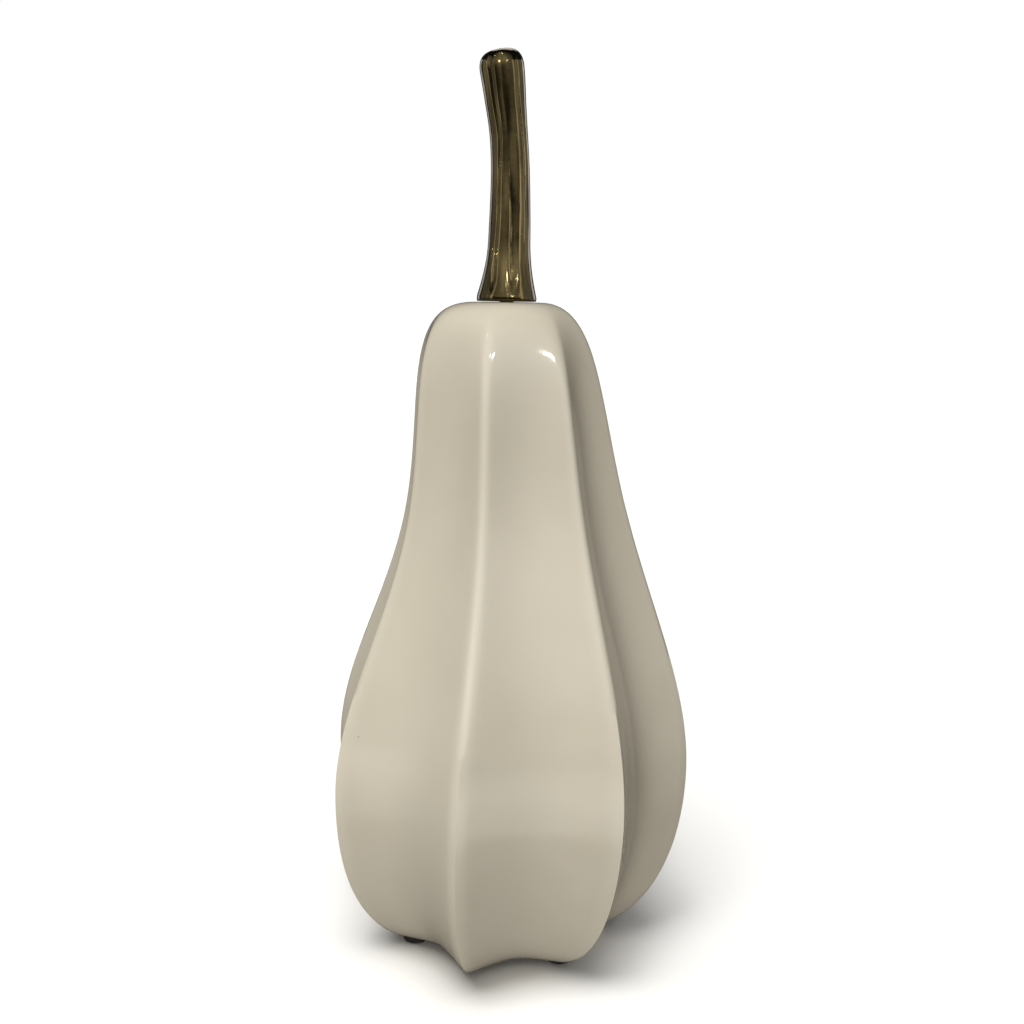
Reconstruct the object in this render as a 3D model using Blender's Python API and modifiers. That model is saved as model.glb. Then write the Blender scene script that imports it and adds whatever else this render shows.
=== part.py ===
"""Ceramic pumpkin figure: a tall, pear-shaped ceramic gourd with eight ridges and a screwed-on metal stem.

Units are metres and +Z is up. The figure stands on its four pads at Z = 0, with the origin under the
middle of its outline and one ridge facing -Y. Run with: blender --background --python part.py
"""

import math

import bmesh
import bpy
from mathutils import Matrix, Vector
from mathutils.geometry import interpolate_bezier

GAP = 0.0003  # between pieces that touch
OVERRUN = 0.004  # of a cutter past the face it opens

# Ceramic body. Heights are above the body's own underside.
BODY_HEIGHT = 0.285
FOOT_RADIUS = 0.0503
BELLY_RADIUS = 0.0828
BELLY_HEIGHT = 0.078
NECK_HEIGHT = 0.2007
NECK_RADIUS = {"left": 0.0477, "right": 0.0504}
NECK_TAPER = {"left": -0.173, "right": -0.266}  # change of ridge radius with height at the neck
SEAT_RADIUS = 0.0135
FOOT_HANDLE = (0.0046, 0.002)  # of the outline's curves, outwards and upwards from the foot
BELLY_HANDLE_DOWN = 0.0595
BELLY_HANDLE_UP = 0.0404
NECK_HANDLE_DOWN = 0.0476
NECK_HANDLE_UP = 0.0449
SEAT_HANDLE = {"left": 0.0341, "right": 0.0257}
WALL = 0.005
TOP_WALL = 0.006
BOW = 0.003  # how far the middle of the body swings off the vertical line through its ends
BEND_DIRECTION = math.radians(14.0)  # of the body's bow and the stem's bend, from +X towards +Y

# Ridges and flutes. Every second ridge is moved towards the sides, so the front and back flutes are wider.
RIDGES = 8
DIAGONAL_SHIFT = math.radians(3.5)
CREST_ROUNDING = 0.0026
VALLEY_AT_FOOT = 0.80  # valley radius as a share of ridge radius
VALLEY_AT_BELLY = 0.84
VALLEY_AT_NECK = 0.87
VALLEY_RUNOUT = 4  # power of the flutes' run-out between the neck and the seat

# Openings in the body
DISH_RADIUS = 0.031
DISH_DEPTH = 0.002
DISH_SLOPE = 0.003
ACCESS_HOLE_RADIUS = 0.013
STUD_HOLE_RADIUS = 0.0045

# Pads
PAD_RADIUS = 0.006
PAD_HEIGHT = 0.003
PAD_EDGE = 0.0005
PAD_CIRCLE_RADIUS = 0.0428
PADS = {"front_right": -37.0, "back_right": 41.5, "back_left": 138.5, "front_left": 221.0}  # degrees from +X

# Stem. Heights are above the ceramic seat; its underside is higher, on the gasket.
# Each curve is (start, handle, handle, end) as (radius, height).
STEM_FOOT_RADIUS = 0.0126
STEM_HEIGHT = 0.0989
STEM_CURVES = (
    ((0.0126, 0.0019), (0.0112, 0.0072), (0.0091, 0.0150), (0.00885, 0.0255)),
    ((0.00885, 0.0255), (0.0086, 0.0355), (0.00785, 0.0530), (0.00785, 0.0655)),
    ((0.00785, 0.0655), (0.00785, 0.0745), (0.00885, 0.0850), (0.0091, 0.0920)),
    ((0.0091, 0.0920), (0.0092, 0.0962), (0.0075, 0.0987), (0.0036, STEM_HEIGHT)),
)
STEM_SHIFT = 0.0009  # of the stem and its fastening off the middle of the seat, to the left
STEM_SWELL = 0.0009  # swing of the lower stem to the right
STEM_SWELL_END = 0.8  # share of the stem's height where that swing is back at zero
STEM_LEAN = 0.0043  # swing of the stem's top to the left
STEM_LEAN_START = 0.5  # share of the stem's height where the lean begins
SOCKET_DEPTH = 0.014

# M6 fastening
STUD_RADIUS = 0.003
STUD_CHAMFER = 0.0005
STUD_IN_STEM = 0.012
STUD_LENGTH = 0.035
CLEARANCE_RADIUS = 0.0033
GASKET_OUTER = 0.0108
GASKET_INNER = 0.0048
GASKET_THICKNESS = 0.0008
CUSHION_OUTER = 0.0095
CUSHION_THICKNESS = 0.002
CEILING_MARGIN = 0.001  # of the flat inside the body's top round the cushion washer
WASHER_OUTER = 0.009
WASHER_THICKNESS = 0.0016
SPRING_OUTER = 0.0059
SPRING_THICKNESS = 0.0016
SPRING_SPLIT = 0.0012
SPRING_SLANT = math.radians(25)
NUT_ACROSS_FLATS = 0.010
NUT_THICKNESS = 0.005
NUT_CHAMFER = 0.0006

# Heights above the floor, stacked from the pads up and from the ceramic top inwards
BODY_BASE = PAD_HEIGHT + GAP
BODY_TOP = BODY_BASE + BODY_HEIGHT
SEAT_LEVEL = BODY_TOP + GAP
STEM_LIFT = GASKET_THICKNESS + GAP
CUSHION_BASE = BODY_TOP - TOP_WALL - GAP - CUSHION_THICKNESS
WASHER_BASE = CUSHION_BASE - GAP - WASHER_THICKNESS
SPRING_BASE = WASHER_BASE - GAP - SPRING_THICKNESS
NUT_BASE = SPRING_BASE - GAP - NUT_THICKNESS
STUD_TOP = SEAT_LEVEL + STUD_IN_STEM

# How finely the round shapes are divided
OUTLINE_STEPS = 8
CAVITY_STEPS = 5
OUTER_STOPS = (0.0, 0.40, 0.72, 0.93)  # across half a flute, from its valley; the crest is 1
CAVITY_STOPS = (0.0, 0.60)
STEM_SIDES = 32
STEM_STEPS = 6
ROUND_STEPS = 32
STUD_STEPS = 24
PAD_STEPS = 24


# Shared helpers


def clear_scene():
    for leftover in list(bpy.data.objects):
        bpy.data.objects.remove(leftover)


def make_collection(name):
    collection = bpy.data.collections.new(name)
    bpy.context.scene.collection.children.link(collection)
    return collection


def make_material(name, colour, roughness, metallic=0.0):
    material = bpy.data.materials.new(name)
    material.use_nodes = True
    shader = material.node_tree.nodes["Principled BSDF"]
    shader.inputs["Base Color"].default_value = (*colour, 1.0)
    shader.inputs["Roughness"].default_value = roughness
    shader.inputs["Metallic"].default_value = metallic
    return material


def add_object(name, mesh, collection, material=None):
    obj = bpy.data.objects.new(name, mesh)
    collection.objects.link(obj)
    if material:
        mesh.materials.append(material)
    return obj


def mesh_from_bmesh(name, bm, smooth_angle=None):
    mesh = bpy.data.meshes.new(name)
    bmesh.ops.recalc_face_normals(bm, faces=bm.faces)
    bm.to_mesh(mesh)
    bm.free()
    if smooth_angle:
        mesh.shade_smooth()
        mesh.set_sharp_from_angle(angle=smooth_angle)
    return mesh


def mesh_from_rings(name, rings, smooth_angle=None):
    """A closed solid through rings of points, bottom to top, with a flat face on each end ring."""
    bm = bmesh.new()
    loops = [[bm.verts.new(point) for point in ring] for ring in rings]
    for lower, upper in zip(loops, loops[1:]):
        for i in range(len(lower)):
            j = (i + 1) % len(lower)
            bm.faces.new((lower[i], lower[j], upper[j], upper[i]))
    bm.faces.new(reversed(loops[0]))
    bm.faces.new(loops[-1])
    return mesh_from_bmesh(name, bm, smooth_angle)


def turned(name, outline, collection, material=None, steps=ROUND_STEPS, ring=False):
    """An outline of (radius, height) points, top to bottom, turned about Z. A ring's outline is closed."""
    mesh = bpy.data.meshes.new(name)
    edges = [(i, i + 1) for i in range(len(outline) - 1)]
    if ring:
        edges.append((len(outline) - 1, 0))
    mesh.from_pydata([(radius, 0.0, height) for radius, height in outline], edges, [])
    obj = add_object(name, mesh, collection, material)
    screw = obj.modifiers.new("turn", "SCREW")
    screw.axis = "Z"
    screw.steps = steps
    screw.render_steps = steps
    screw.use_merge_vertices = True
    screw.merge_threshold = 0.00001
    screw.use_smooth_shade = True
    return obj


def make_cutter(obj):
    obj.hide_render = True
    obj.display_type = "WIRE"
    return obj


def cut(obj, cutter):
    boolean = obj.modifiers.new("cut_" + cutter.name, "BOOLEAN")
    boolean.operation = "DIFFERENCE"
    boolean.solver = "EXACT"
    boolean.object = cutter


def bore(obj, name, radius, low, high, centre, cutters):
    """Cuts a round hole between two heights."""
    outline = [(0.0, high), (radius, high), (radius, low), (0.0, low)]
    hole = turned(name, outline, cutters)
    hole.location = (centre.x, centre.y, 0.0)
    cut(obj, make_cutter(hole))


def bezier_outline(spans, steps):
    """Points along a chain of curve spans, each (start, handle, handle, end) as (radius, height)."""
    points = []
    for knots in spans:
        flat = [Vector((*point, 0.0)) for point in knots]
        span = interpolate_bezier(*flat, steps + 1)
        points.extend(span if not points else span[1:])
    return [(point.x, point.y) for point in points]


def blend(share, low, high):
    share = min(max(share, 0.0), 1.0)
    return low + (high - low) * share * share * (3.0 - 2.0 * share)


# Ceramic body


def bend_vector():
    return Vector((math.cos(BEND_DIRECTION), math.sin(BEND_DIRECTION)))


def centreline(height):
    """Sideways offset of the body's middle, zero at the belly so that the outline stays centred."""
    swing = math.sin(math.pi * height / BODY_HEIGHT) - math.sin(math.pi * BELLY_HEIGHT / BODY_HEIGHT)
    return bend_vector() * BOW * swing


def ridge_outline(steps, side):
    """(radius, height) points up a ridge, from the foot over the belly and the neck to the seat."""
    foot = Vector((FOOT_RADIUS, 0.0))
    belly = Vector((BELLY_RADIUS, BELLY_HEIGHT))
    neck = Vector((NECK_RADIUS[side], NECK_HEIGHT))
    seat = Vector((SEAT_RADIUS, BODY_HEIGHT))
    upwards = Vector((0.0, 1.0))
    along_neck = Vector((NECK_TAPER[side], 1.0))
    spans = (
        (foot, foot + Vector(FOOT_HANDLE), belly - upwards * BELLY_HANDLE_DOWN, belly),
        (belly, belly + upwards * BELLY_HANDLE_UP, neck - along_neck * NECK_HANDLE_DOWN, neck),
        (neck, neck + along_neck * NECK_HANDLE_UP, seat + Vector((SEAT_HANDLE[side], 0.0)), seat),
    )
    return bezier_outline(spans, steps)


def ridge_outlines(steps):
    """Pairs of points, one up the left side's outline and one up the right side's."""
    return list(zip(ridge_outline(steps, "left"), ridge_outline(steps, "right")))


def valley_share(height):
    """Valley radius as a share of ridge radius; the flutes run out into the round seat at the top."""
    if height < BELLY_HEIGHT:
        return blend(height / BELLY_HEIGHT, VALLEY_AT_FOOT, VALLEY_AT_BELLY)
    if height < NECK_HEIGHT:
        return blend((height - BELLY_HEIGHT) / (NECK_HEIGHT - BELLY_HEIGHT), VALLEY_AT_BELLY, VALLEY_AT_NECK)
    runout = (height - NECK_HEIGHT) / (BODY_HEIGHT - NECK_HEIGHT)
    return VALLEY_AT_NECK + (1.0 - VALLEY_AT_NECK) * runout**VALLEY_RUNOUT


def ridge_directions():
    """Angles of the ridges from +X, in order, starting with the one that faces -Y."""
    directions = []
    for i in range(RIDGES):
        shift = 0.0
        if i % 4 == 1:
            shift = DIAGONAL_SHIFT
        elif i % 4 == 3:
            shift = -DIAGONAL_SHIFT
        directions.append(-math.pi / 2 + i * math.tau / RIDGES + shift)
    return directions


def flute_radius(stop, ridge_radius, valley_radius):
    """Radius across half a flute, from its valley at 0 to the softly rounded crest at 1."""
    tip = ridge_radius + CREST_ROUNDING / 4
    here = valley_radius + (tip - valley_radius) * stop**2
    next_flute = valley_radius + (tip - valley_radius) * (2.0 - stop) ** 2
    overlap = max(CREST_ROUNDING - (next_flute - here), 0.0) / CREST_ROUNDING
    return here - overlap**2 * CREST_ROUNDING / 4


def body_ring(left, right, stops, inset=0.0):
    """One closed section of the body as (x, y, height) points; every half flute is sampled at the stops.

    The section passes smoothly from the left side's (radius, height) to the right side's and back.
    """
    directions = ridge_directions()
    points = []
    for i, start in enumerate(directions):
        end = directions[(i + 1) % RIDGES]
        half = ((end - start) % math.tau) / 2
        fractions = [-1.0] + [-stop for stop in reversed(stops) if stop] + list(stops)
        for fraction in fractions:
            angle = start + half * (1.0 + fraction)
            share = (1.0 + math.cos(angle - BEND_DIRECTION)) / 2
            ridge_radius = left[0] + (right[0] - left[0]) * share
            height = left[1] + (right[1] - left[1]) * share
            valley_radius = ridge_radius * valley_share(height)
            radius = flute_radius(abs(fraction), ridge_radius, valley_radius) - inset
            point = centreline(height) + radius * Vector((math.cos(angle), math.sin(angle)))
            points.append((*point, height))
    return points


def round_ring(radius, centre, directions):
    return [centre + radius * Vector((math.cos(angle), math.sin(angle))) for angle in directions]


def make_outer_form():
    """The glazed outside, closed, with the shallow dish of its underside."""
    rings = []
    for left, right in ridge_outlines(OUTLINE_STEPS):
        ring = body_ring(left, right, OUTER_STOPS)
        rings.append([(x, y, BODY_BASE + height) for x, y, height in ring])
    centre = centreline(0.0)
    around = [math.atan2(point[1] - centre.y, point[0] - centre.x) for point in rings[0]]
    dish = (
        (DISH_RADIUS, DISH_DEPTH),
        (DISH_RADIUS + DISH_SLOPE, 0.0),
    )
    underside = [
        [(*point, BODY_BASE + height) for point in round_ring(radius, centre, around)]
        for radius, height in dish
    ]
    return mesh_from_rings("ceramic_body", underside + rings, math.radians(45))


def make_cavity(cutters):
    """The hollow that draining the mould leaves, with softened flutes and a flat ceiling for the washers."""
    base = BODY_BASE + DISH_DEPTH + WALL
    scale = (BODY_TOP - TOP_WALL - base) / BODY_HEIGHT
    ceiling = (CUSHION_OUTER + CEILING_MARGIN + WALL, BODY_HEIGHT)
    rings = []
    for left, right in ridge_outlines(CAVITY_STEPS)[:-1] + [(ceiling, ceiling)]:
        ring = body_ring(left, right, CAVITY_STOPS, inset=WALL)
        rings.append([(x, y, base + height * scale) for x, y, height in ring])
    return make_cutter(add_object("cavity", mesh_from_rings("cavity", rings), cutters))


def make_ceramic_body(parts, cutters):
    glaze = make_material("ivory_glaze", (0.70, 0.67, 0.58), 0.08)
    body = add_object("ceramic_body", make_outer_form(), parts, glaze)
    cut(body, make_cavity(cutters))
    low, high = BODY_BASE - OVERRUN, BODY_BASE + DISH_DEPTH + WALL + OVERRUN
    bore(body, "access_hole", ACCESS_HOLE_RADIUS, low, high, centreline(0.0), cutters)
    low, high = BODY_TOP - TOP_WALL - OVERRUN, BODY_TOP + OVERRUN
    bore(body, "stud_hole", STUD_HOLE_RADIUS, low, high, stem_axis(), cutters)


# Stem


def stem_axis():
    """Where the stem and its fastening stand over the seat."""
    return centreline(BODY_HEIGHT) - bend_vector() * STEM_SHIFT


def stem_swing(height):
    """Sideways offset of the stem's middle: a slight swell to the right, then a lean to the left."""
    share = height / STEM_HEIGHT
    swell = math.sin(math.pi * min(share / STEM_SWELL_END, 1.0))
    lean = max((share - STEM_LEAN_START) / (1.0 - STEM_LEAN_START), 0.0) ** 2
    return STEM_SWELL * swell - STEM_LEAN * lean


def stem_tilt(height):
    step = 0.0005
    if height <= STEM_LIFT:
        return 0.0
    return math.atan((stem_swing(height + step) - stem_swing(height - step)) / (2 * step))


def make_stem(parts, cutters):
    """Flared foot with a low rim, waist, crown and domed top, on a bent middle line."""
    plating = make_material("dark_gold_plating", (0.36, 0.27, 0.11), 0.12, metallic=1.0)
    axis = stem_axis()
    angles = [i * math.tau / STEM_SIDES for i in range(STEM_SIDES)]
    rings = []
    for radius, height in [(STEM_FOOT_RADIUS, STEM_LIFT)] + bezier_outline(STEM_CURVES, STEM_STEPS):
        place = (
            Matrix.Translation((axis.x, axis.y, SEAT_LEVEL + height))
            @ Matrix.Rotation(BEND_DIRECTION, 4, "Z")
            @ Matrix.Translation((stem_swing(height), 0.0, 0.0))
            @ Matrix.Rotation(stem_tilt(height), 4, "Y")
        )
        rings.append([place @ Vector((radius * math.cos(a), radius * math.sin(a), 0.0)) for a in angles])
    stem = add_object("stem", mesh_from_rings("stem", rings, math.radians(50)), parts, plating)
    low, high = SEAT_LEVEL - OVERRUN, SEAT_LEVEL + SOCKET_DEPTH
    bore(stem, "stem_socket", CLEARANCE_RADIUS, low, high, axis, cutters)


# Fastening inside the neck


def flat_ring(name, outer, inner, base, thickness, parts, material):
    outline = [
        (inner, base + thickness),
        (outer, base + thickness),
        (outer, base),
        (inner, base),
    ]
    ring = turned(name, outline, parts, material, ring=True)
    ring.location = (*stem_axis(), 0.0)
    return ring


def make_stud(parts, steel):
    inset = STUD_RADIUS - STUD_CHAMFER
    low = STUD_TOP - STUD_LENGTH
    outline = [
        (0.0, STUD_TOP),
        (inset, STUD_TOP),
        (STUD_RADIUS, STUD_TOP - STUD_CHAMFER),
        (STUD_RADIUS, low + STUD_CHAMFER),
        (inset, low),
        (0.0, low),
    ]
    stud = turned("stem_stud", outline, parts, steel, steps=STUD_STEPS)
    stud.location = (*stem_axis(), 0.0)


def make_spring_washer(parts, cutters, steel):
    washer = flat_ring(
        "spring_washer", SPRING_OUTER, CLEARANCE_RADIUS, SPRING_BASE, SPRING_THICKNESS, parts, steel
    )
    bm = bmesh.new()
    bmesh.ops.create_cube(bm, size=1.0)
    bmesh.ops.scale(bm, verts=bm.verts, vec=(SPRING_OUTER * 1.5, SPRING_SPLIT, SPRING_THICKNESS * 3))
    split = make_cutter(add_object("washer_split", mesh_from_bmesh("washer_split", bm), cutters))
    axis = stem_axis()
    middle = Matrix.Translation((axis.x + SPRING_OUTER, axis.y, SPRING_BASE + SPRING_THICKNESS / 2))
    split.matrix_world = middle @ Matrix.Rotation(SPRING_SLANT, 4, "X")
    cut(washer, split)


def make_nut(parts, cutters, steel):
    bm = bmesh.new()
    corner_radius = NUT_ACROSS_FLATS / math.sqrt(3)
    bmesh.ops.create_cone(
        bm, cap_ends=True, segments=6, radius1=corner_radius, radius2=corner_radius, depth=NUT_THICKNESS
    )
    nut = add_object("hex_nut", mesh_from_bmesh("hex_nut", bm), parts, steel)
    axis = stem_axis()
    nut.location = (axis.x, axis.y, NUT_BASE + NUT_THICKNESS / 2)
    bevel = nut.modifiers.new("chamfer", "BEVEL")
    bevel.width = NUT_CHAMFER
    bevel.segments = 1
    bevel.limit_method = "ANGLE"
    bevel.angle_limit = math.radians(80)
    low, high = NUT_BASE - OVERRUN, NUT_BASE + NUT_THICKNESS + OVERRUN
    bore(nut, "nut_bore", CLEARANCE_RADIUS, low, high, axis, cutters)


def make_fastening(parts, cutters):
    steel = make_material("zinc_plated_steel", (0.62, 0.63, 0.64), 0.28, metallic=1.0)
    rubber = make_material("black_rubber", (0.03, 0.03, 0.03), 0.7)
    make_stud(parts, steel)
    flat_ring("stem_gasket", GASKET_OUTER, GASKET_INNER, SEAT_LEVEL, GASKET_THICKNESS, parts, rubber)
    hole = CLEARANCE_RADIUS
    flat_ring("cushion_washer", CUSHION_OUTER, hole, CUSHION_BASE, CUSHION_THICKNESS, parts, rubber)
    flat_ring("steel_washer", WASHER_OUTER, hole, WASHER_BASE, WASHER_THICKNESS, parts, steel)
    make_spring_washer(parts, cutters, steel)
    make_nut(parts, cutters, steel)


# Pads


def make_pads(parts):
    rubber = make_material("pad_rubber", (0.02, 0.02, 0.02), 0.85)
    outline = [
        (0.0, PAD_HEIGHT),
        (PAD_RADIUS - PAD_EDGE, PAD_HEIGHT),
        (PAD_RADIUS, PAD_HEIGHT - PAD_EDGE),
        (PAD_RADIUS, PAD_EDGE),
        (PAD_RADIUS - PAD_EDGE, 0.0),
        (0.0, 0.0),
    ]
    centre = centreline(0.0)
    for place, degrees in PADS.items():
        pad = turned("foot_pad_" + place, outline, parts, rubber, steps=PAD_STEPS)
        angle = math.radians(degrees)
        pad.location = (
            centre.x + PAD_CIRCLE_RADIUS * math.cos(angle),
            centre.y + PAD_CIRCLE_RADIUS * math.sin(angle),
            0.0,
        )


def main():
    clear_scene()
    parts = make_collection("ceramic_pumpkin_figure")
    cutters = make_collection("cutters")
    make_ceramic_body(parts, cutters)
    make_stem(parts, cutters)
    make_fastening(parts, cutters)
    make_pads(parts)


main()
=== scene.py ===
"""Looks of the ceramic pumpkin figure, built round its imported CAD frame. Metres, +Z up, front ridge to -Y."""

import math

import bmesh
import bpy
from mathutils import Matrix, Vector
from mathutils.geometry import interpolate_bezier


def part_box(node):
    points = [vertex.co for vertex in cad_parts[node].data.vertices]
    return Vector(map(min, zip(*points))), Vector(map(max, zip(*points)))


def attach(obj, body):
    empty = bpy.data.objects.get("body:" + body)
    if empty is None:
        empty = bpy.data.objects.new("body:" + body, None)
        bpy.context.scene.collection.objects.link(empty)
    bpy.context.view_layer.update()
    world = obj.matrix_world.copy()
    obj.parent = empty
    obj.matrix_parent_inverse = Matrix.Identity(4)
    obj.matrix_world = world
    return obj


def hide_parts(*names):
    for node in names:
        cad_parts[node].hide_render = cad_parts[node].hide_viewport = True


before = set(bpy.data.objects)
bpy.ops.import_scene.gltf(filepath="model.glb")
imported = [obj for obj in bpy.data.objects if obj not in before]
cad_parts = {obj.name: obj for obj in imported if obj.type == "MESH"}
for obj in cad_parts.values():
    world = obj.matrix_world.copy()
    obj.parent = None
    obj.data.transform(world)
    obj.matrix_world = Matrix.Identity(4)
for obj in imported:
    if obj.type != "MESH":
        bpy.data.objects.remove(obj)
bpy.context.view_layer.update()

# Places read from the frame
BODY_LOW, BODY_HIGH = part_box("ceramic_body")
GASKET_LOW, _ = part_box("stem_gasket")
STUD_LOW, STUD_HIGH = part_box("stem_stud")
BODY_BASE = BODY_LOW.z
BODY_HEIGHT = BODY_HIGH.z - BODY_LOW.z
BOX_MARGIN = 0.0001  # keeps the glaze inside the frame's box
BELLY_RADIUS = (BODY_HIGH.x - BODY_LOW.x) / 2 - BOX_MARGIN
STEM_AXIS = Vector(((STUD_LOW.x + STUD_HIGH.x) / 2, (STUD_LOW.y + STUD_HIGH.y) / 2))

# Outline of a ridge; heights are above the body's underside
FOOT_RADIUS = 0.0503
BELLY_HEIGHT = 0.078
NECK_HEIGHT = 0.2007
NECK_RADIUS = {"left": 0.0477, "right": 0.0504}
NECK_TAPER = {"left": -0.173, "right": -0.266}
SEAT_RADIUS = 0.0135
FOOT_HANDLE = (0.0046, 0.002)
BELLY_HANDLE_DOWN = 0.0595
BELLY_HANDLE_UP = 0.0404
NECK_HANDLE_DOWN = 0.0476
NECK_HANDLE_UP = 0.0449
SEAT_HANDLE = {"left": 0.0341, "right": 0.0257}
BOW = 0.003
BEND_DIRECTION = math.radians(14.0)
RIDGES = 8
DIAGONAL_SHIFT = math.radians(3.5)
CREST_ROUNDING = 0.0026
VALLEY_AT_FOOT = 0.80
VALLEY_AT_BELLY = 0.84
VALLEY_AT_NECK = 0.87
VALLEY_RUNOUT = 4
WALL = 0.005
TOP_WALL = 0.006
DISH_RADIUS = 0.031
DISH_DEPTH = 0.002
DISH_SLOPE = 0.003
ACCESS_HOLE_RADIUS = 0.013
STUD_HOLE_RADIUS = 0.0045
HOLE_CHAMFER = 0.0005
CREST_HIGHLIGHT_START = 0.80  # place across the half flute where the painted highlight along a crest begins
CREST_HIGHLIGHT_FADE = 0.03  # height over which the crests' painted highlight fades out below the seat

# Outline of the stem; heights are above the gasket's underside, curves are (start, handle, handle, end)
STEM_FOOT_RADIUS = 0.0126
STEM_HEIGHT = 0.0989
STEM_CURVES = (
    ((0.0126, 0.0019), (0.0112, 0.0072), (0.0091, 0.0150), (0.00885, 0.0255)),
    ((0.00885, 0.0255), (0.0086, 0.0355), (0.00785, 0.0530), (0.00785, 0.0655)),
    ((0.00785, 0.0655), (0.00785, 0.0745), (0.00885, 0.0850), (0.0091, 0.0920)),
    ((0.0091, 0.0920), (0.0092, 0.0962), (0.0075, 0.0987), (0.0036, STEM_HEIGHT)),
)
STEM_SWELL = 0.0009
STEM_SWELL_END = 0.8
STEM_LEAN = 0.0043
STEM_LEAN_START = 0.5
SOCKET_RADIUS = 0.0033
SOCKET_DEPTH = 0.014
RECESS_RADIUS = 0.0112
RECESS_DEPTH = 0.0011
STEM_FOOT_EDGE = 0.0003
CREASE_RISE = (0.002, 0.012)  # height where the creases start, and over which they deepen
CREASE_TOP_FADE = 0.004

PAD_EDGE = 0.0008

# Fineness
OUTLINE_STEPS = 40
FLUTE_STOPS = [i / 14 for i in range(14)]
STEM_SIDES = 192
STEM_STEPS = 30

# Camera, placed from the line through the middle of the body's foot
CAMERA_AZIMUTH = math.radians(13.8)
CAMERA_DISTANCE = 0.440
CAMERA_HEIGHT = 0.291
CAMERA_PITCH = math.radians(-12.0)
CAMERA_YAW = math.radians(0.385)
CAMERA_ROLL = math.radians(0.98)
CAMERA_LENS = 35.77

# Stage. The camera sees a white floor and backdrop; reflections see a darker table top, the bright room in
# front of the figure and the dim one behind it; FLOOR_BOUNCE and AMBIENT_COLOUR are what lights the figure.
FLOOR_RADIUS = 30.0
FLOOR_COLOUR = (0.93, 0.93, 0.925)
FLOOR_BOUNCE = (0.31, 0.305, 0.295)
TABLE_RADIUS = 0.195
TABLE_EDGE_BLUR = 0.015
TABLE_REFLECTED = (0.12, 0.11, 0.10)
ROOM_REFLECTED = (1.9, 1.86, 1.78)
FAR_REFLECTED = (0.16, 0.155, 0.145)  # the low far side of the room in front
BACK_REFLECTED = (0.05, 0.05, 0.048)
FLOOR_FAR = (0.2, 0.9)  # distances between which the floor's reflection fades to the far side's
FLOOR_FRONT = (0.0, 0.35)  # places along the view between which it passes from behind to in front
ROOM_FRONT = (0.25, 0.85)  # the same for directions into the room
ROOM_RISE = (0.04, 0.30)  # heights of direction between the low far side and the bright room
BACKDROP_COLOUR = (1.0, 1.0, 1.0)
AMBIENT_COLOUR = (0.008, 0.008, 0.008)

# Light
AIM = Vector((0.0, 0.0, 0.2))
SUN_DISTANCE = 2.0
LAMP_DISTANCE = 2.2
LAMP_COLOUR = (1.0, 0.97, 0.9)
STRIP_DISTANCE = 1.6
STRIP_COLOUR = (1.0, 0.98, 0.94)
SUNS = (  # (name, azimuth, elevation, angle, power)
    ("front_light", -12.0, 5.0, 25.0, 1.42),
    ("key_light", -45.0, 66.0, 25.0, 1.25),
    ("top_light", -8.0, 80.0, 25.0, 1.30),
)
SUN_COLOUR = (1.0, 0.985, 0.95)
FLOOR_LIGHT = (0.0, 80.0, 70.0, 1.2)  # (azimuth, elevation, angle, power)
LAMPS = (  # (azimuth, elevation, (width, height), power); each shows as a glint
    (-30.0, 51.0, (0.045, 0.045), 2.6),
    (-84.0, 14.0, (0.03, 0.03), 1.0),
    (6.0, 30.0, (0.03, 0.03), 1.2),
    (22.0, 27.5, (0.24, 0.10), 9.0),
)
STRIPS = (  # (azimuth, elevation, (width, height), power); they light the stem alone
    (60.0, 12.0, (0.30, 1.2), 3.4),
    (-60.0, 12.0, (0.26, 1.2), 2.8),
    (92.0, 10.0, (1.50, 1.3), 6.5),
    (-92.0, 10.0, (1.50, 1.3), 5.0),
    (176.0, 58.0, (0.90, 0.9), 7.0),
    (136.0, 8.0, (0.50, 1.2), 4.2),
    (-138.0, 8.0, (0.50, 1.2), 3.0),
)


# Mesh helpers


def blend(share, low, high):
    share = min(max(share, 0.0), 1.0)
    return low + (high - low) * share * share * (3.0 - 2.0 * share)


def bezier_outline(spans, steps):
    points = []
    for knots in spans:
        flat = [Vector((*point, 0.0)) for point in knots]
        span = interpolate_bezier(*flat, steps + 1)
        points.extend(span if not points else span[1:])
    return [(point.x, point.y) for point in points]


def add_piece(name, mesh, material, slot_name, *nodes):
    obj = bpy.data.objects.new(name, mesh)
    bpy.context.scene.collection.objects.link(obj)
    mesh.materials.append(material)
    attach(obj, "root")
    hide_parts(*nodes)
    return obj


def loft(name, rings, closed_path=False, values=None):
    """Quads through rings of points. An open path ends in a point at each end; a closed path joins up."""
    bm = bmesh.new()
    layers = {key: bm.verts.layers.float.new(key) for key in (values or {})}
    loops = []
    for index, ring in enumerate(rings):
        loop = [bm.verts.new(point) for point in ring]
        for key, layer in layers.items():
            for place, vert in enumerate(loop):
                vert[layer] = values[key][index][place]
        loops.append(loop)
    pairs = list(zip(loops, loops[1:]))
    if closed_path:
        pairs.append((loops[-1], loops[0]))
    for lower, upper in pairs:
        count = max(len(lower), len(upper))
        for i in range(count):
            j = (i + 1) % count
            corners = []
            for loop, place in ((lower, i), (lower, j), (upper, j), (upper, i)):
                vert = loop[place % len(loop)]
                if vert not in corners:
                    corners.append(vert)
            bm.faces.new(corners)
    bmesh.ops.recalc_face_normals(bm, faces=bm.faces)
    mesh = bpy.data.meshes.new(name)
    bm.to_mesh(mesh)
    bm.free()
    mesh.shade_smooth()
    mesh.set_sharp_from_angle(angle=math.radians(50))
    return mesh


# Ceramic body


def centreline(height):
    swing = math.sin(math.pi * height / BODY_HEIGHT) - math.sin(math.pi * BELLY_HEIGHT / BODY_HEIGHT)
    return Vector((math.cos(BEND_DIRECTION), math.sin(BEND_DIRECTION))) * BOW * swing


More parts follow.
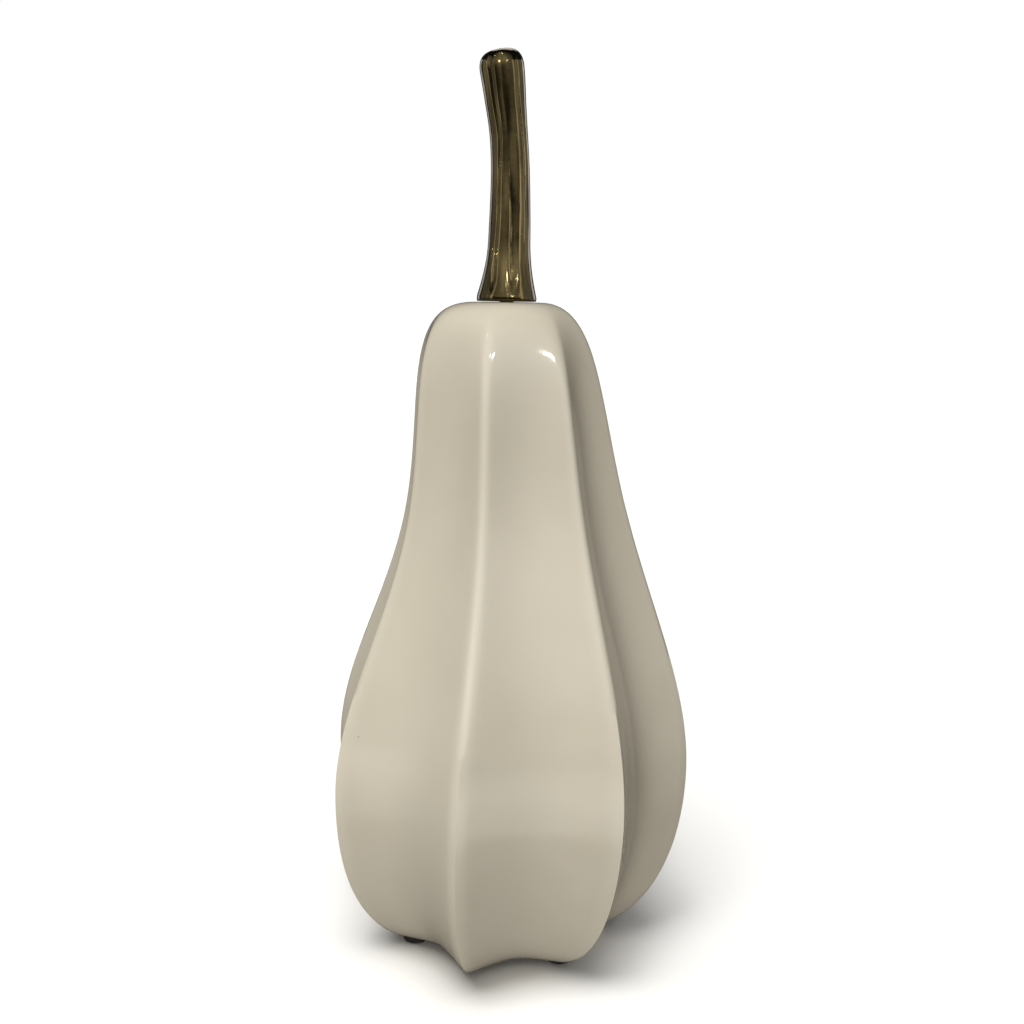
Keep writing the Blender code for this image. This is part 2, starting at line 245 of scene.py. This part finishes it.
def ridge_outline(steps, side):
    foot = Vector((FOOT_RADIUS, 0.0))
    belly = Vector((BELLY_RADIUS, BELLY_HEIGHT))
    neck = Vector((NECK_RADIUS[side], NECK_HEIGHT))
    seat = Vector((SEAT_RADIUS, BODY_HEIGHT))
    upwards = Vector((0.0, 1.0))
    along_neck = Vector((NECK_TAPER[side], 1.0))
    spans = (
        (foot, foot + Vector(FOOT_HANDLE), belly - upwards * BELLY_HANDLE_DOWN, belly),
        (belly, belly + upwards * BELLY_HANDLE_UP, neck - along_neck * NECK_HANDLE_DOWN, neck),
        (neck, neck + along_neck * NECK_HANDLE_UP, seat + Vector((SEAT_HANDLE[side], 0.0)), seat),
    )
    return bezier_outline(spans, steps)


def ridge_outlines(steps):
    """Pairs of points, one up the left side's outline and one up the right side's."""
    return list(zip(ridge_outline(steps, "left"), ridge_outline(steps, "right")))


def valley_share(height):
    if height < BELLY_HEIGHT:
        return blend(height / BELLY_HEIGHT, VALLEY_AT_FOOT, VALLEY_AT_BELLY)
    if height < NECK_HEIGHT:
        return blend((height - BELLY_HEIGHT) / (NECK_HEIGHT - BELLY_HEIGHT), VALLEY_AT_BELLY, VALLEY_AT_NECK)
    runout = (height - NECK_HEIGHT) / (BODY_HEIGHT - NECK_HEIGHT)
    return VALLEY_AT_NECK + (1.0 - VALLEY_AT_NECK) * runout**VALLEY_RUNOUT


def flute_radius(stop, ridge_radius, valley_radius):
    tip = ridge_radius + CREST_ROUNDING / 4
    here = valley_radius + (tip - valley_radius) * stop**2
    next_flute = valley_radius + (tip - valley_radius) * (2.0 - stop) ** 2
    overlap = max(CREST_ROUNDING - (next_flute - here), 0.0) / CREST_ROUNDING
    return here - overlap**2 * CREST_ROUNDING / 4


def around_the_body():
    """(angle, place across the half flute) of every point of a ring; 0 is a valley and 1 a crest."""
    shifts = (0.0, DIAGONAL_SHIFT, 0.0, -DIAGONAL_SHIFT)
    starts = [-math.pi / 2 + i * math.tau / RIDGES + shifts[i % 4] for i in range(RIDGES)]
    result = []
    for i, start in enumerate(starts):
        half = ((starts[(i + 1) % RIDGES] - start) % math.tau) / 2
        stops = [-1.0] + [-stop for stop in reversed(FLUTE_STOPS) if stop] + FLUTE_STOPS
        result.extend((start + half * (1.0 + stop), abs(stop)) for stop in stops)
    return result


AROUND = around_the_body()


def body_ring(left, right, base, scale=1.0, inset=0.0):
    """A section that passes smoothly from the left side's (radius, height) to the right side's and back."""
    ring = []
    for angle, stop in AROUND:
        share = (1.0 + math.cos(angle - BEND_DIRECTION)) / 2
        ridge_radius = left[0] + (right[0] - left[0]) * share
        height = left[1] + (right[1] - left[1]) * share
        valley_radius = ridge_radius * valley_share(height)
        radius = flute_radius(stop, ridge_radius, valley_radius) - inset
        point = centreline(height) + radius * Vector((math.cos(angle), math.sin(angle)))
        ring.append((*point, base + height * scale))
    return ring


def round_ring(radius, level, centre):
    return [(centre.x + radius * math.cos(a), centre.y + radius * math.sin(a), level) for a, _ in AROUND]


def body_rings():
    """(ring, glaze) round the shell's section: up the outside, in through the stud hole, down the inside."""
    top = BODY_BASE + BODY_HEIGHT
    ceiling = top - TOP_WALL
    floor = BODY_BASE + DISH_DEPTH + WALL
    edge = HOLE_CHAMFER
    stations = []
    for left, right in ridge_outlines(OUTLINE_STEPS):
        stations.append((body_ring(left, right, BODY_BASE), 1.0))
    for radius, level in (
        (STUD_HOLE_RADIUS + edge, top),
        (STUD_HOLE_RADIUS, top - edge),
        (STUD_HOLE_RADIUS, ceiling),
        (SEAT_RADIUS * 0.75, ceiling),
    ):
        stations.append((round_ring(radius, level, STEM_AXIS), 0.0))
    scale = (ceiling - floor) / BODY_HEIGHT
    for left, right in reversed(ridge_outlines(OUTLINE_STEPS // 4)[:-1]):
        stations.append((body_ring(left, right, floor, scale, inset=WALL), 0.0))
    for radius, level in (
        (ACCESS_HOLE_RADIUS + edge, floor),
        (ACCESS_HOLE_RADIUS, floor - edge),
        (ACCESS_HOLE_RADIUS, BODY_BASE + DISH_DEPTH + edge),
        (ACCESS_HOLE_RADIUS + edge, BODY_BASE + DISH_DEPTH),
        (DISH_RADIUS, BODY_BASE + DISH_DEPTH),
        (DISH_RADIUS + DISH_SLOPE, BODY_BASE),
    ):
        stations.append((round_ring(radius, level, centreline(0.0)), 0.0))
    return stations


# Weight of the painted highlight: a lighter glaze colour that stands in for the shine along the rounded crests
def crest_highlight_weight(stop, height):
    across = blend((stop - CREST_HIGHLIGHT_START) / (1.0 - CREST_HIGHLIGHT_START), 0.0, 1.0)
    return across * blend((BODY_HEIGHT - height) / CREST_HIGHLIGHT_FADE, 0.0, 1.0)


def make_body(material):
    stations = body_rings()
    rings = [ring for ring, _ in stations]
    # Weights of the painted highlight along the crests, carried by the "crest" attribute
    crest_highlights = []
    for ring in rings:
        crest_highlights.append([crest_highlight_weight(stop, point[2] - BODY_BASE) for (_, stop), point in zip(AROUND, ring)])
    values = {"glaze": [[glaze] * len(ring) for ring, glaze in stations], "crest": crest_highlights}
    mesh = loft("glazed_shell", rings, closed_path=True, values=values)
    return add_piece("glazed_shell", mesh, material, "ivory_glaze", "ceramic_body")


# Stem


def stem_swing(height):
    share = height / STEM_HEIGHT
    swell = math.sin(math.pi * min(share / STEM_SWELL_END, 1.0))
    lean = max((share - STEM_LEAN_START) / (1.0 - STEM_LEAN_START), 0.0) ** 2
    return STEM_SWELL * swell - STEM_LEAN * lean


def stem_frame(height):
    step = 0.0005
    rise = (stem_swing(height + step) - stem_swing(height - step)) / (2 * step) if height > step else 0.0
    return (
        Matrix.Translation((STEM_AXIS.x, STEM_AXIS.y, GASKET_LOW.z + height))
        @ Matrix.Rotation(BEND_DIRECTION, 4, "Z")
        @ Matrix.Translation((stem_swing(height), 0.0, 0.0))
        @ Matrix.Rotation(math.atan(rise), 4, "Y")
    )


# Creases down the stem: (degrees round the foot, drift to the top, depth share, half width in degrees)
CREASES = (
    (-82.0, -17.0, 0.13, 17.0),
    (-128.0, 6.0, 0.07, 13.0),
    (-38.0, -8.0, 0.08, 13.0),
    (14.0, 10.0, 0.11, 17.0),
    (66.0, -12.0, 0.12, 18.0),
    (122.0, 8.0, 0.09, 15.0),
    (170.0, -6.0, 0.11, 17.0),
)


def crease_depth(angle, height):
    """How far the creases pull the surface in, as a share of the radius; they wander and come and go."""
    depth = 0.0
    for i, (start, drift, deepest, half_width) in enumerate(CREASES):
        share = height / STEM_HEIGHT
        wander = 4.0 * math.sin(height * 85.0 + i * 1.9) + 2.0 * math.sin(height * 210.0 + i * 0.7)
        middle = math.radians(start + drift * share + wander)
        away = abs((angle - middle + math.pi) % math.tau - math.pi) / math.radians(half_width)
        strength = 0.72 + 0.28 * math.sin(height * 60.0 + i * 2.3)
        depth = max(depth, deepest * strength * max(1.0 - away, 0.0) ** 1.6)
    return depth


def stem_ring(radius, height, creased=1.0):
    """A section of the stem, creased lengthwise as a dried stalk is."""
    place = stem_frame(height)
    ring = []
    for i in range(STEM_SIDES):
        angle = i * math.tau / STEM_SIDES
        reach = radius * (1.0 - creased * crease_depth(angle, height))
        ring.append(place @ Vector((reach * math.cos(angle), reach * math.sin(angle), 0.0)))
    return ring


def make_stem(material):
    edge = STEM_FOOT_EDGE
    top_radius = STEM_CURVES[-1][-1][0]
    rings = [[(STEM_AXIS.x, STEM_AXIS.y, GASKET_LOW.z + SOCKET_DEPTH)]]
    for radius, height in (
        (SOCKET_RADIUS, SOCKET_DEPTH),
        (SOCKET_RADIUS, RECESS_DEPTH + edge),
        (SOCKET_RADIUS + edge, RECESS_DEPTH),
        (RECESS_RADIUS, RECESS_DEPTH),
        (RECESS_RADIUS, 0.0),
        (STEM_FOOT_RADIUS - edge, 0.0),
        (STEM_FOOT_RADIUS, edge),
    ):
        rings.append(stem_ring(radius, height, creased=0.0))
    for radius, height in bezier_outline(STEM_CURVES, STEM_STEPS):
        creased = blend((height - CREASE_RISE[0]) / CREASE_RISE[1], 0.0, 1.0)
        creased *= blend((STEM_HEIGHT - height) / CREASE_TOP_FADE, 0.0, 1.0)
        rings.append(stem_ring(radius, height, creased))
    for share in (0.66, 0.33):
        rings.append(stem_ring(top_radius * share, STEM_HEIGHT, creased=0.0))
    rings.append([stem_frame(STEM_HEIGHT) @ Vector()])
    mesh = loft("plated_stem", rings)
    return add_piece("plated_stem", mesh, material, "dark_gold_plating", "stem")


# Small turned pieces


def turned_rings(outline, centre, sides=64):
    rings = []
    for radius, level in outline:
        if radius == 0.0:
            rings.append([(centre.x, centre.y, level)])
            continue
        ring = []
        for i in range(sides):
            angle = i * math.tau / sides
            ring.append((centre.x + radius * math.cos(angle), centre.y + radius * math.sin(angle), level))
        rings.append(ring)
    return rings


def rounded_box_outline(inner, outer, low, high, edge, steps=4):
    """Closed (radius, level) section of a ring with rounded edges."""
    corners = (
        (outer - edge, high - edge, 90.0),
        (outer - edge, low + edge, 0.0),
        (inner + edge, low + edge, -90.0),
        (inner + edge, high - edge, -180.0),
    )
    points = []
    for radius, level, start in corners:
        for i in range(steps + 1):
            angle = math.radians(start - 90.0 * i / steps)
            points.append((radius + edge * math.cos(angle), level + edge * math.sin(angle)))
    return points


def node_centre(node):
    low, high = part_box(node)
    return Vector(((low.x + high.x) / 2, (low.y + high.y) / 2))


def make_ring_piece(name, node, inner, edge, material, slot_name):
    low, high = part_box(node)
    outer = (high.x - low.x) / 2
    outline = rounded_box_outline(inner, outer, low.z, high.z, edge)
    mesh = loft(name, turned_rings(outline, node_centre(node), 96), closed_path=True)
    return add_piece(name, mesh, material, slot_name, node)


def make_pad(place, material):
    node = "foot_pad_" + place
    low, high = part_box(node)
    radius = (high.x - low.x) / 2
    outline = [(0.0, high.z)]
    rounded = rounded_box_outline(-radius, radius, low.z, high.z, PAD_EDGE, 6)
    outline += [point for point in rounded if point[0] > 0]
    outline.append((0.0, low.z))
    mesh = loft("pad_" + place, turned_rings(outline, node_centre(node), 72))
    return add_piece("pad_" + place, mesh, material, "pad_rubber", node)


# Materials


def new_material(name):
    material = bpy.data.materials.new(name)
    material.use_nodes = True
    nodes = material.node_tree.nodes
    return material, nodes, material.node_tree.links, nodes["Principled BSDF"]


def add_noise(nodes, links, coordinates, scale, detail=2.0, roughness=0.5):
    texture = nodes.new("ShaderNodeTexNoise")
    texture.inputs["Scale"].default_value = scale
    texture.inputs["Detail"].default_value = detail
    texture.inputs["Roughness"].default_value = roughness
    links.new(coordinates, texture.inputs["Vector"])
    return texture.outputs["Fac"]


def remap(nodes, links, value, low, high, to_low, to_high):
    node = nodes.new("ShaderNodeMapRange")
    for name, number in (("From Min", low), ("From Max", high), ("To Min", to_low), ("To Max", to_high)):
        node.inputs[name].default_value = number
    links.new(value, node.inputs["Value"])
    return node.outputs["Result"]


def mix_colour(nodes, links, factor, first, second):
    node = nodes.new("ShaderNodeMix")
    node.data_type = "RGBA"
    links.new(factor, node.inputs["Factor"])
    for socket, value in ((node.inputs[6], first), (node.inputs[7], second)):
        if isinstance(value, tuple):
            socket.default_value = (*value, 1.0)
        else:
            links.new(value, socket)
    return node.outputs[2]


def add_bump(nodes, links, height, distance, strength=1.0, normal=None):
    node = nodes.new("ShaderNodeBump")
    node.inputs["Distance"].default_value = distance
    node.inputs["Strength"].default_value = strength
    links.new(height, node.inputs["Height"])
    if normal:
        links.new(normal, node.inputs["Normal"])
    return node.outputs["Normal"]


def object_coordinates(nodes):
    return nodes.new("ShaderNodeTexCoord").outputs["Object"]


def attribute(nodes, name):
    node = nodes.new("ShaderNodeAttribute")
    node.attribute_name = name
    return node.outputs["Fac"]


def pinholes(nodes, links, where):
    """1 at a few pinholes that burst bubbles left in the glaze, some 0.5 mm across."""
    cells = nodes.new("ShaderNodeTexVoronoi")
    cells.inputs["Scale"].default_value = 62.0
    links.new(where, cells.inputs["Vector"])
    near = remap(nodes, links, cells.outputs["Distance"], 0.014, 0.024, 1.0, 0.0)
    split = nodes.new("ShaderNodeSeparateXYZ")
    links.new(cells.outputs["Color"], split.inputs[0])
    chosen = remap(nodes, links, split.outputs["X"], 0.80, 0.82, 0.0, 1.0)
    both = nodes.new("ShaderNodeMath")
    both.operation = "MULTIPLY"
    links.new(near, both.inputs[0])
    links.new(chosen, both.inputs[1])
    return both.outputs[0]


def glaze_material():
    material, nodes, links, shader = new_material("ivory_glaze")
    where = object_coordinates(nodes)
    cloud = remap(nodes, links, add_noise(nodes, links, where, 18.0, 3.0), 0.35, 0.65, 0.0, 1.0)
    tone = mix_colour(nodes, links, cloud, (0.70, 0.645, 0.525), (0.74, 0.68, 0.56))
    # Painted highlight: the crests get a lighter glaze colour that stands in for the shine along their rounded
    # edges
    crest_highlighted = mix_colour(nodes, links, attribute(nodes, "crest"), tone, (0.80, 0.745, 0.615))
    pinhole_shade = pinholes(nodes, links, where)
    # Painted shade: the pinholes get a near-black colour that stands in for the shade inside their pits, which
    # are not modelled
    crest_highlighted = mix_colour(nodes, links, pinhole_shade, crest_highlighted, (0.10, 0.075, 0.05))
    bisque_grain = add_noise(nodes, links, where, 900.0, 4.0)
    bisque = mix_colour(nodes, links, bisque_grain, (0.62, 0.55, 0.44), (0.70, 0.64, 0.53))
    glazed = remap(nodes, links, attribute(nodes, "glaze"), 0.4, 0.6, 0.0, 1.0)
    links.new(mix_colour(nodes, links, glazed, bisque, crest_highlighted), shader.inputs["Base Color"])
    rough = add_noise(nodes, links, where, 60.0, 2.0)
    gloss = remap(nodes, links, rough, 0.3, 0.7, 0.05, 0.09)
    roughness = nodes.new("ShaderNodeMix")
    links.new(glazed, roughness.inputs["Factor"])
    roughness.inputs[2].default_value = 0.75
    links.new(gloss, roughness.inputs[3])
    links.new(roughness.outputs[0], shader.inputs["Roughness"])
    wavy = add_bump(nodes, links, add_noise(nodes, links, where, 26.0, 1.0), 0.0006, 0.35)
    peel = add_bump(nodes, links, add_noise(nodes, links, where, 420.0, 1.0), 0.00004, 0.5, wavy)
    links.new(peel, shader.inputs["Normal"])
    return material


def plating_material():
    """Gold plating whose colour is darkened into a painted dark reflection of a dim room, streaked lengthwise,
    that also mirrors its surroundings.
    """
    material, nodes, links, shader = new_material("dark_gold_plating")
    where = object_coordinates(nodes)
    drawn_out = nodes.new("ShaderNodeMapping")
    drawn_out.inputs["Scale"].default_value = (1.0, 1.0, 0.14)
    links.new(where, drawn_out.inputs["Vector"])
    streaks = add_noise(nodes, links, drawn_out.outputs["Vector"], 260.0, 2.0, 0.55)
    patina = remap(nodes, links, streaks, 0.40, 0.66, 0.0, 1.0)
    # Painted reflection: the plating's colour is kept far darker than gold's, standing in for a dim room
    # mirrored in it
    colour = mix_colour(nodes, links, patina, (0.046, 0.036, 0.017), (0.092, 0.073, 0.034))
    links.new(colour, shader.inputs["Base Color"])
    shader.inputs["Metallic"].default_value = 1.0
    links.new(remap(nodes, links, streaks, 0.3, 0.7, 0.14, 0.07), shader.inputs["Roughness"])
    dents = add_bump(nodes, links, add_noise(nodes, links, where, 150.0, 2.0), 0.0002, 0.4)
    links.new(add_bump(nodes, links, streaks, 0.0003, 0.4, dents), shader.inputs["Normal"])
    return material


def steel_material():
    material, nodes, links, shader = new_material("zinc_plated_steel")
    where = object_coordinates(nodes)
    grain = add_noise(nodes, links, where, 1200.0, 3.0)
    colour = mix_colour(nodes, links, grain, (0.50, 0.51, 0.53), (0.66, 0.66, 0.64))
    links.new(colour, shader.inputs["Base Color"])
    shader.inputs["Metallic"].default_value = 1.0
    links.new(remap(nodes, links, grain, 0.3, 0.7, 0.22, 0.38), shader.inputs["Roughness"])
    links.new(add_bump(nodes, links, grain, 0.00003, 0.5), shader.inputs["Normal"])
    return material


def rubber_material(name, dark, light, scale):
    material, nodes, links, shader = new_material(name)
    where = object_coordinates(nodes)
    grain = add_noise(nodes, links, where, scale, 4.0, 0.7)
    links.new(mix_colour(nodes, links, grain, dark, light), shader.inputs["Base Color"])
    links.new(remap(nodes, links, grain, 0.3, 0.7, 0.65, 0.9), shader.inputs["Roughness"])
    links.new(add_bump(nodes, links, grain, 0.0001, 0.6), shader.inputs["Normal"])
    return material


# Stage, light and camera


def frontness(nodes, links, vector, low, high):
    """0 behind the figure and 1 on the camera's side of it, for a place or a direction."""
    dot = nodes.new("ShaderNodeVectorMath")
    dot.operation = "DOT_PRODUCT"
    dot.inputs[1].default_value = (math.sin(CAMERA_AZIMUTH), -math.cos(CAMERA_AZIMUTH), 0.0)
    links.new(vector, dot.inputs[0])
    return remap(nodes, links, dot.outputs["Value"], low, high, 0.0, 1.0)


def make_floor():
    """A pale floor, mirrored by the figure as a darker table top with the room beyond its edge."""
    bm = bmesh.new()
    bmesh.ops.create_circle(bm, cap_ends=True, segments=128, radius=FLOOR_RADIUS)
    mesh = bpy.data.meshes.new("studio_floor")
    bm.to_mesh(mesh)
    bm.free()
    material, nodes, links, shader = new_material("pale_floor")
    nodes.remove(shader)
    paint = nodes.new("ShaderNodeBsdfDiffuse")
    links.new(paint.outputs[0], nodes["Material Output"].inputs["Surface"])
    where = object_coordinates(nodes)
    distance = nodes.new("ShaderNodeVectorMath")
    distance.operation = "LENGTH"
    links.new(where, distance.inputs[0])
    away = distance.outputs["Value"]
    fading = remap(nodes, links, away, *FLOOR_FAR, 0.0, 1.0)
    room = mix_colour(nodes, links, fading, ROOM_REFLECTED, FAR_REFLECTED)
    room = mix_colour(nodes, links, frontness(nodes, links, where, *FLOOR_FRONT), BACK_REFLECTED, room)
    edge = (TABLE_RADIUS - TABLE_EDGE_BLUR, TABLE_RADIUS + TABLE_EDGE_BLUR)
    past_edge = remap(nodes, links, away, *edge, 0.0, 1.0)
    mirrored = mix_colour(nodes, links, past_edge, TABLE_REFLECTED, room)
    path = nodes.new("ShaderNodeLightPath")
    unseen = mix_colour(nodes, links, path.outputs["Is Glossy Ray"], FLOOR_BOUNCE, mirrored)
    seen = mix_colour(nodes, links, path.outputs["Is Camera Ray"], unseen, FLOOR_COLOUR)
    links.new(seen, paint.inputs["Color"])
    floor = bpy.data.objects.new("studio_floor", mesh)
    bpy.context.scene.collection.objects.link(floor)
    mesh.materials.append(material)
    return floor


def make_world():
    """A faint surrounding light, a room to mirror that is bright in front, and a white backdrop."""
    world = bpy.data.worlds.new("studio")
    bpy.context.scene.world = world
    world.use_nodes = True
    nodes, links = world.node_tree.nodes, world.node_tree.links
    direction = nodes.new("ShaderNodeTexCoord").outputs["Generated"]
    split = nodes.new("ShaderNodeSeparateXYZ")
    links.new(direction, split.inputs[0])
    rising = remap(nodes, links, split.outputs["Z"], *ROOM_RISE, 0.0, 1.0)
    room = mix_colour(nodes, links, rising, FAR_REFLECTED, ROOM_REFLECTED)
    mirrored = mix_colour(nodes, links, frontness(nodes, links, direction, *ROOM_FRONT), BACK_REFLECTED, room)
    path = nodes.new("ShaderNodeLightPath")
    unseen = mix_colour(nodes, links, path.outputs["Is Glossy Ray"], AMBIENT_COLOUR, mirrored)
    seen = mix_colour(nodes, links, path.outputs["Is Camera Ray"], unseen, BACKDROP_COLOUR)
    links.new(seen, nodes["Background"].inputs["Color"])


def from_object(azimuth, elevation, distance):
    """A place seen from the middle of the figure; azimuth 0 is the camera's side and grows to the right."""
    turn = CAMERA_AZIMUTH + math.radians(azimuth)
    rise = math.radians(elevation)
    outwards = Vector((math.sin(turn) * math.cos(rise), -math.cos(turn) * math.cos(rise), math.sin(rise)))
    return AIM + outwards * distance


def make_sun(name, azimuth, elevation, angle, power, colour):
    data = bpy.data.lights.new(name, "SUN")
    data.angle = math.radians(angle)
    return place_light(data, azimuth, elevation, SUN_DISTANCE, power, colour)


def make_area(name, shape, azimuth, elevation, distance, size, power, colour):
    data = bpy.data.lights.new(name, "AREA")
    data.shape = shape
    data.size, data.size_y = size
    return place_light(data, azimuth, elevation, distance, power, colour)


def place_light(data, azimuth, elevation, distance, power, colour):
    data.energy = power
    data.color = colour
    light = bpy.data.objects.new(data.name, data)
    bpy.context.scene.collection.objects.link(light)
    place = from_object(azimuth, elevation, distance)
    light.location = place
    light.rotation_euler = (AIM - place).to_track_quat("-Z", "Y").to_euler()
    return light


def light_only(light, obj):
    """Lets a light reach one object and nothing else."""
    receivers = bpy.data.collections.new(light.name + "_receivers")
    receivers.objects.link(obj)
    light.light_linking.receiver_collection = receivers


def make_lights(stem, floor):
    for name, azimuth, elevation, angle, power in SUNS:
        sun = make_sun(name, azimuth, elevation, angle, power, SUN_COLOUR)
        sun.visible_glossy = False
    light_only(make_sun("floor_light", *FLOOR_LIGHT, (1.0, 1.0, 1.0)), floor)
    for i, (azimuth, elevation, size, power) in enumerate(LAMPS, 1):
        lamp = make_area(f"lamp_{i}", "ELLIPSE", azimuth, elevation, LAMP_DISTANCE, size, power, LAMP_COLOUR)
        lamp.visible_diffuse = False
    for i, (azimuth, elevation, size, power) in enumerate(STRIPS, 1):
        strip = make_area(
            f"strip_{i}", "RECTANGLE", azimuth, elevation, STRIP_DISTANCE, size, power, STRIP_COLOUR
        )
        light_only(strip, stem)


def make_camera():
    """The camera stands level with the seat of the stem and looks slightly down."""
    data = bpy.data.cameras.new("camera")
    data.lens = CAMERA_LENS
    camera = bpy.data.objects.new("camera", data)
    bpy.context.scene.collection.objects.link(camera)
    level = Vector((math.sin(CAMERA_YAW), math.cos(CAMERA_YAW), 0.0)) * math.cos(CAMERA_PITCH)
    forward = level + Vector((0.0, 0.0, math.sin(CAMERA_PITCH)))
    right = Vector((math.cos(CAMERA_YAW), -math.sin(CAMERA_YAW), 0.0))
    up = right.cross(forward)
    rolled_right = right * math.cos(CAMERA_ROLL) + up * math.sin(CAMERA_ROLL)
    rolled_up = up * math.cos(CAMERA_ROLL) - right * math.sin(CAMERA_ROLL)
    axes = Matrix((rolled_right, rolled_up, -forward)).transposed().to_4x4()
    foot = centreline(0.0)
    camera.matrix_world = (
        Matrix.Translation((foot.x, foot.y, 0.0))
        @ Matrix.Rotation(CAMERA_AZIMUTH, 4, "Z")
        @ Matrix.Translation((0.0, -CAMERA_DISTANCE, CAMERA_HEIGHT))
        @ axes
    )
    bpy.context.scene.camera = camera


def main():
    bpy.context.scene.view_settings.view_transform = "Standard"
    make_camera()
    make_body(glaze_material())
    stem = make_stem(plating_material())
    steel = steel_material()
    rubber = rubber_material("black_rubber", (0.012, 0.012, 0.012), (0.03, 0.03, 0.03), 900.0)
    pad = rubber_material("pad_rubber", (0.008, 0.008, 0.008), (0.025, 0.025, 0.024), 1500.0)
    make_ring_piece("gasket_ring", "stem_gasket", 0.0048, 0.0003, rubber, "black_rubber")
    make_ring_piece("cushion_ring", "cushion_washer", SOCKET_RADIUS, 0.0005, rubber, "black_rubber")
    make_ring_piece("penny_washer", "steel_washer", SOCKET_RADIUS, 0.0002, steel, "zinc_plated_steel")
    for node in ("spring_washer", "hex_nut", "stem_stud"):
        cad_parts[node].data.materials.clear()
        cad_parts[node].data.materials.append(steel)
    for place in ("front_right", "back_right", "back_left", "front_left"):
        make_pad(place, pad)
    make_world()
    make_lights(stem, make_floor())


main()
